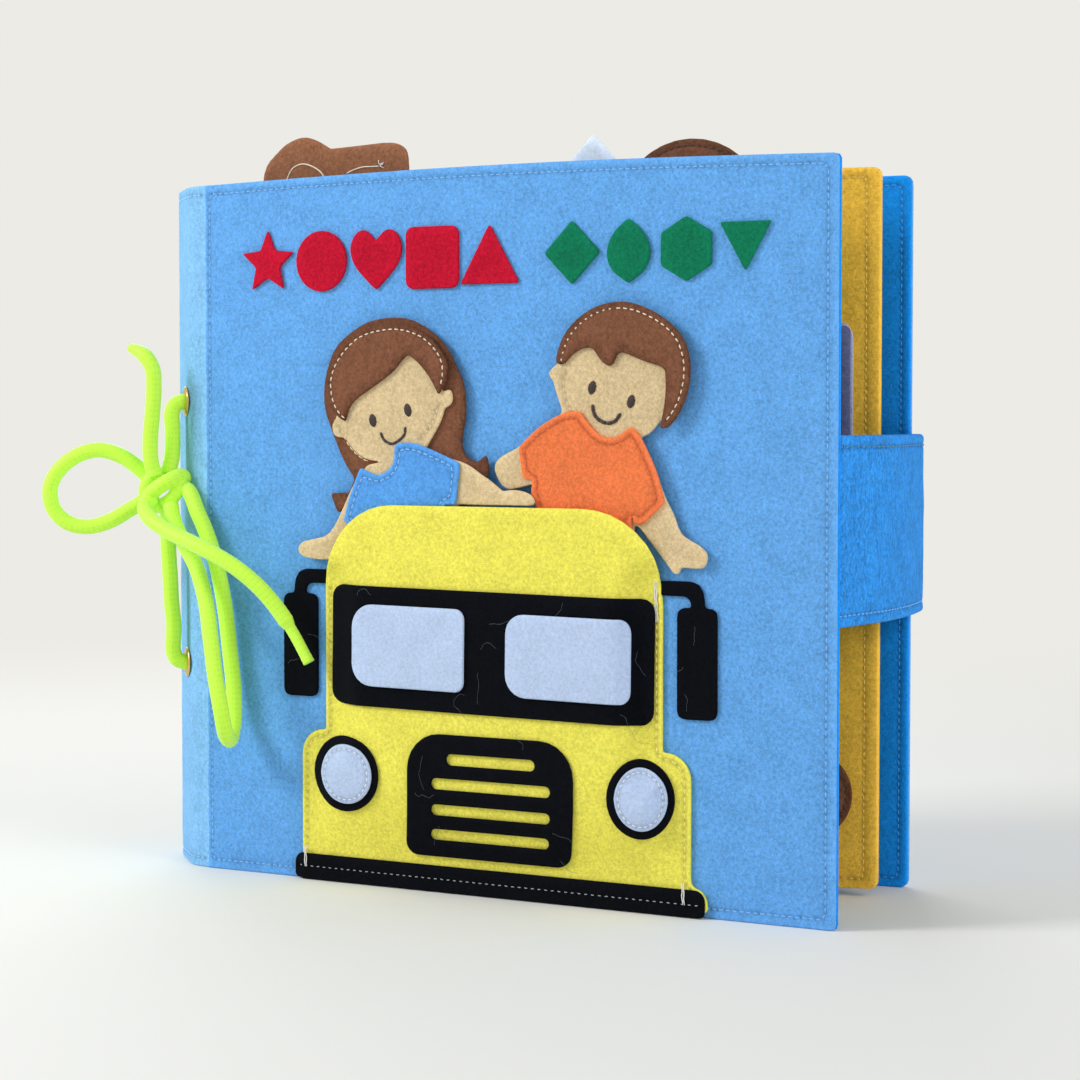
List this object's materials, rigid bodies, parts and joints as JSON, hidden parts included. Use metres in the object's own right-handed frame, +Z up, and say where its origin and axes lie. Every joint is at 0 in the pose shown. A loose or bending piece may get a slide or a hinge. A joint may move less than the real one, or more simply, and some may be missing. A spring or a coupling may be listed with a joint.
{
  "type": "quiet book",
  "caption": "Felt quiet book standing on its open spine, with a bus-shaped front pocket, sliding felt dolls, turning pages, a tied lace and a closing strap.",
  "frame": {"origin": "on the floor, under the middle of the book's box, measured without its tied lace", "axes": "+Z up, +X from the spine to the fore edge, -Y out of the front cover's face"},
  "size_m": [0.2722, 0.1062, 0.2348],
  "materials": {
    "sky_felt": "matt needled felt",
    "pale_blue_felt": "matt needled felt",
    "strap_felt": "matt needled felt",
    "deep_blue_felt": "matt needled felt",
    "cream_felt": "matt needled felt",
    "mint_felt": "matt needled felt",
    "amber_felt": "matt needled felt",
    "yellow_felt": "matt needled felt",
    "black_felt": "matt needled felt",
    "window_felt": "matt needled felt",
    "red_felt": "matt needled felt",
    "green_felt": "matt needled felt",
    "brown_felt": "matt needled felt",
    "skin_felt": "matt needled felt",
    "shirt_blue_felt": "matt needled felt",
    "orange_felt": "matt needled felt",
    "grey_felt": "matt needled felt",
    "ice_felt": "matt needled felt",
    "lime_cord": "satin braided cord",
    "brass_eyelet": "polished"
  },
  "bodies": {
    "spine": {"spine_band": "pale_blue_felt", "page_1_margin": "cream_felt", "page_2_margin": "mint_felt", "page_3_margin": "amber_felt", "upper_back_eyelet": "brass_eyelet", "lower_back_eyelet": "brass_eyelet", "binding_cord": "lime_cord"},
    "front_cover": {"front_cover_outer": "sky_felt", "front_cover_lining": "deep_blue_felt", "front_margin": "pale_blue_felt", "upper_front_eyelet": "brass_eyelet", "lower_front_eyelet": "brass_eyelet", "bow_knot": "lime_cord", "upper_lead": "lime_cord", "lower_lead": "lime_cord", "left_loop": "lime_cord", "hanging_loop": "lime_cord", "upper_tail": "lime_cord", "long_tail": "lime_cord", "bus_body": "yellow_felt", "windshield_frame": "black_felt", "left_window": "window_felt", "right_window": "window_felt", "grille": "black_felt", "left_headlight_rim": "black_felt", "right_headlight_rim": "black_felt", "left_headlight_lens": "window_felt", "right_headlight_lens": "window_felt", "bumper": "black_felt", "left_mirror": "black_felt", "right_mirror": "black_felt", "red_star": "red_felt", "red_circle": "red_felt", "red_heart": "red_felt", "red_square": "red_felt", "red_triangle": "red_felt", "green_diamond": "green_felt", "green_leaf": "green_felt", "green_hexagon": "green_felt", "green_triangle": "green_felt"},
    "girl": {"girl_body": "skin_felt", "girl_hair_back": "brown_felt", "girl_hair_front": "brown_felt", "girl_shirt": "shirt_blue_felt"},
    "boy": {"boy_body": "skin_felt", "boy_hair": "brown_felt", "boy_shirt": "orange_felt"},
    "page_1_leaf": {"page_1": "cream_felt"},
    "page_2_leaf": {"page_2": "mint_felt"},
    "page_3_leaf": {"page_3": "amber_felt", "grey_strip": "grey_felt", "brown_disc": "brown_felt"},
    "loose_hair": {"hair_piece": "brown_felt"},
    "loose_card": {"felt_card": "ice_felt"},
    "loose_round": {"round_piece": "brown_felt"},
    "back_cover": {"back_cover_outer": "sky_felt", "back_cover_lining": "deep_blue_felt", "strap_anchor": "strap_felt"},
    "strap_flap": {"strap": "strap_felt", "hook_patch": "grey_felt"}
  },
  "joints": [
    {"name": "front_cover_hinge", "type": "hinge", "parent": "spine", "child": "front_cover", "pos_m": [-0.11727, -0.02164, 0], "axis": [0, 0, -1], "range_deg": [0, 95]},
    {"name": "page_1_hinge", "type": "hinge", "parent": "spine", "child": "page_1_leaf", "pos_m": [-0.095, -0.0227, 0], "axis": [0, 0, -1], "range_deg": [0, 76]},
    {"name": "page_2_hinge", "type": "hinge", "parent": "spine", "child": "page_2_leaf", "pos_m": [-0.095, -0.0082, 0], "axis": [0, 0, -1], "range_deg": [0, 57]},
    {"name": "page_3_hinge", "type": "hinge", "parent": "spine", "child": "page_3_leaf", "pos_m": [-0.095, 0.0068, 0], "axis": [0, 0, -1], "range_deg": [0, 38]},
    {"name": "back_cover_hinge", "type": "hinge", "parent": "spine", "child": "back_cover", "pos_m": [-0.095, 0.0218, 0], "axis": [0, 0, 1], "range_deg": [0, 95]},
    {"name": "strap_hinge", "type": "hinge", "parent": "back_cover", "child": "strap_flap", "pos_m": [0.11595, 0.0433, 0], "axis": [0, 0, 1], "range_deg": [0, 90]},
    {"name": "girl_slide", "type": "slide", "parent": "front_cover", "child": "girl", "axis": [0, 0, 1], "range_m": [0, 0.06]},
    {"name": "boy_slide", "type": "slide", "parent": "front_cover", "child": "boy", "axis": [0, 0, 1], "range_m": [0, 0.06]},
    {"name": "hair_piece_slide", "type": "slide", "parent": "page_1_leaf", "child": "loose_hair", "axis": [0, 0, 1], "range_m": [0, 0.04]},
    {"name": "felt_card_slide", "type": "slide", "parent": "page_1_leaf", "child": "loose_card", "axis": [0, 0, 1], "range_m": [0, 0.03]},
    {"name": "round_piece_slide", "type": "slide", "parent": "page_1_leaf", "child": "loose_round", "axis": [0, 0, 1], "range_m": [0, 0.03]}
  ],
  "couplings": [
    {"joint": "page_1_hinge", "follows": "front_cover_hinge", "ratio": 0.8},
    {"joint": "page_2_hinge", "follows": "front_cover_hinge", "ratio": 0.6},
    {"joint": "page_3_hinge", "follows": "front_cover_hinge", "ratio": 0.4}
  ]
}
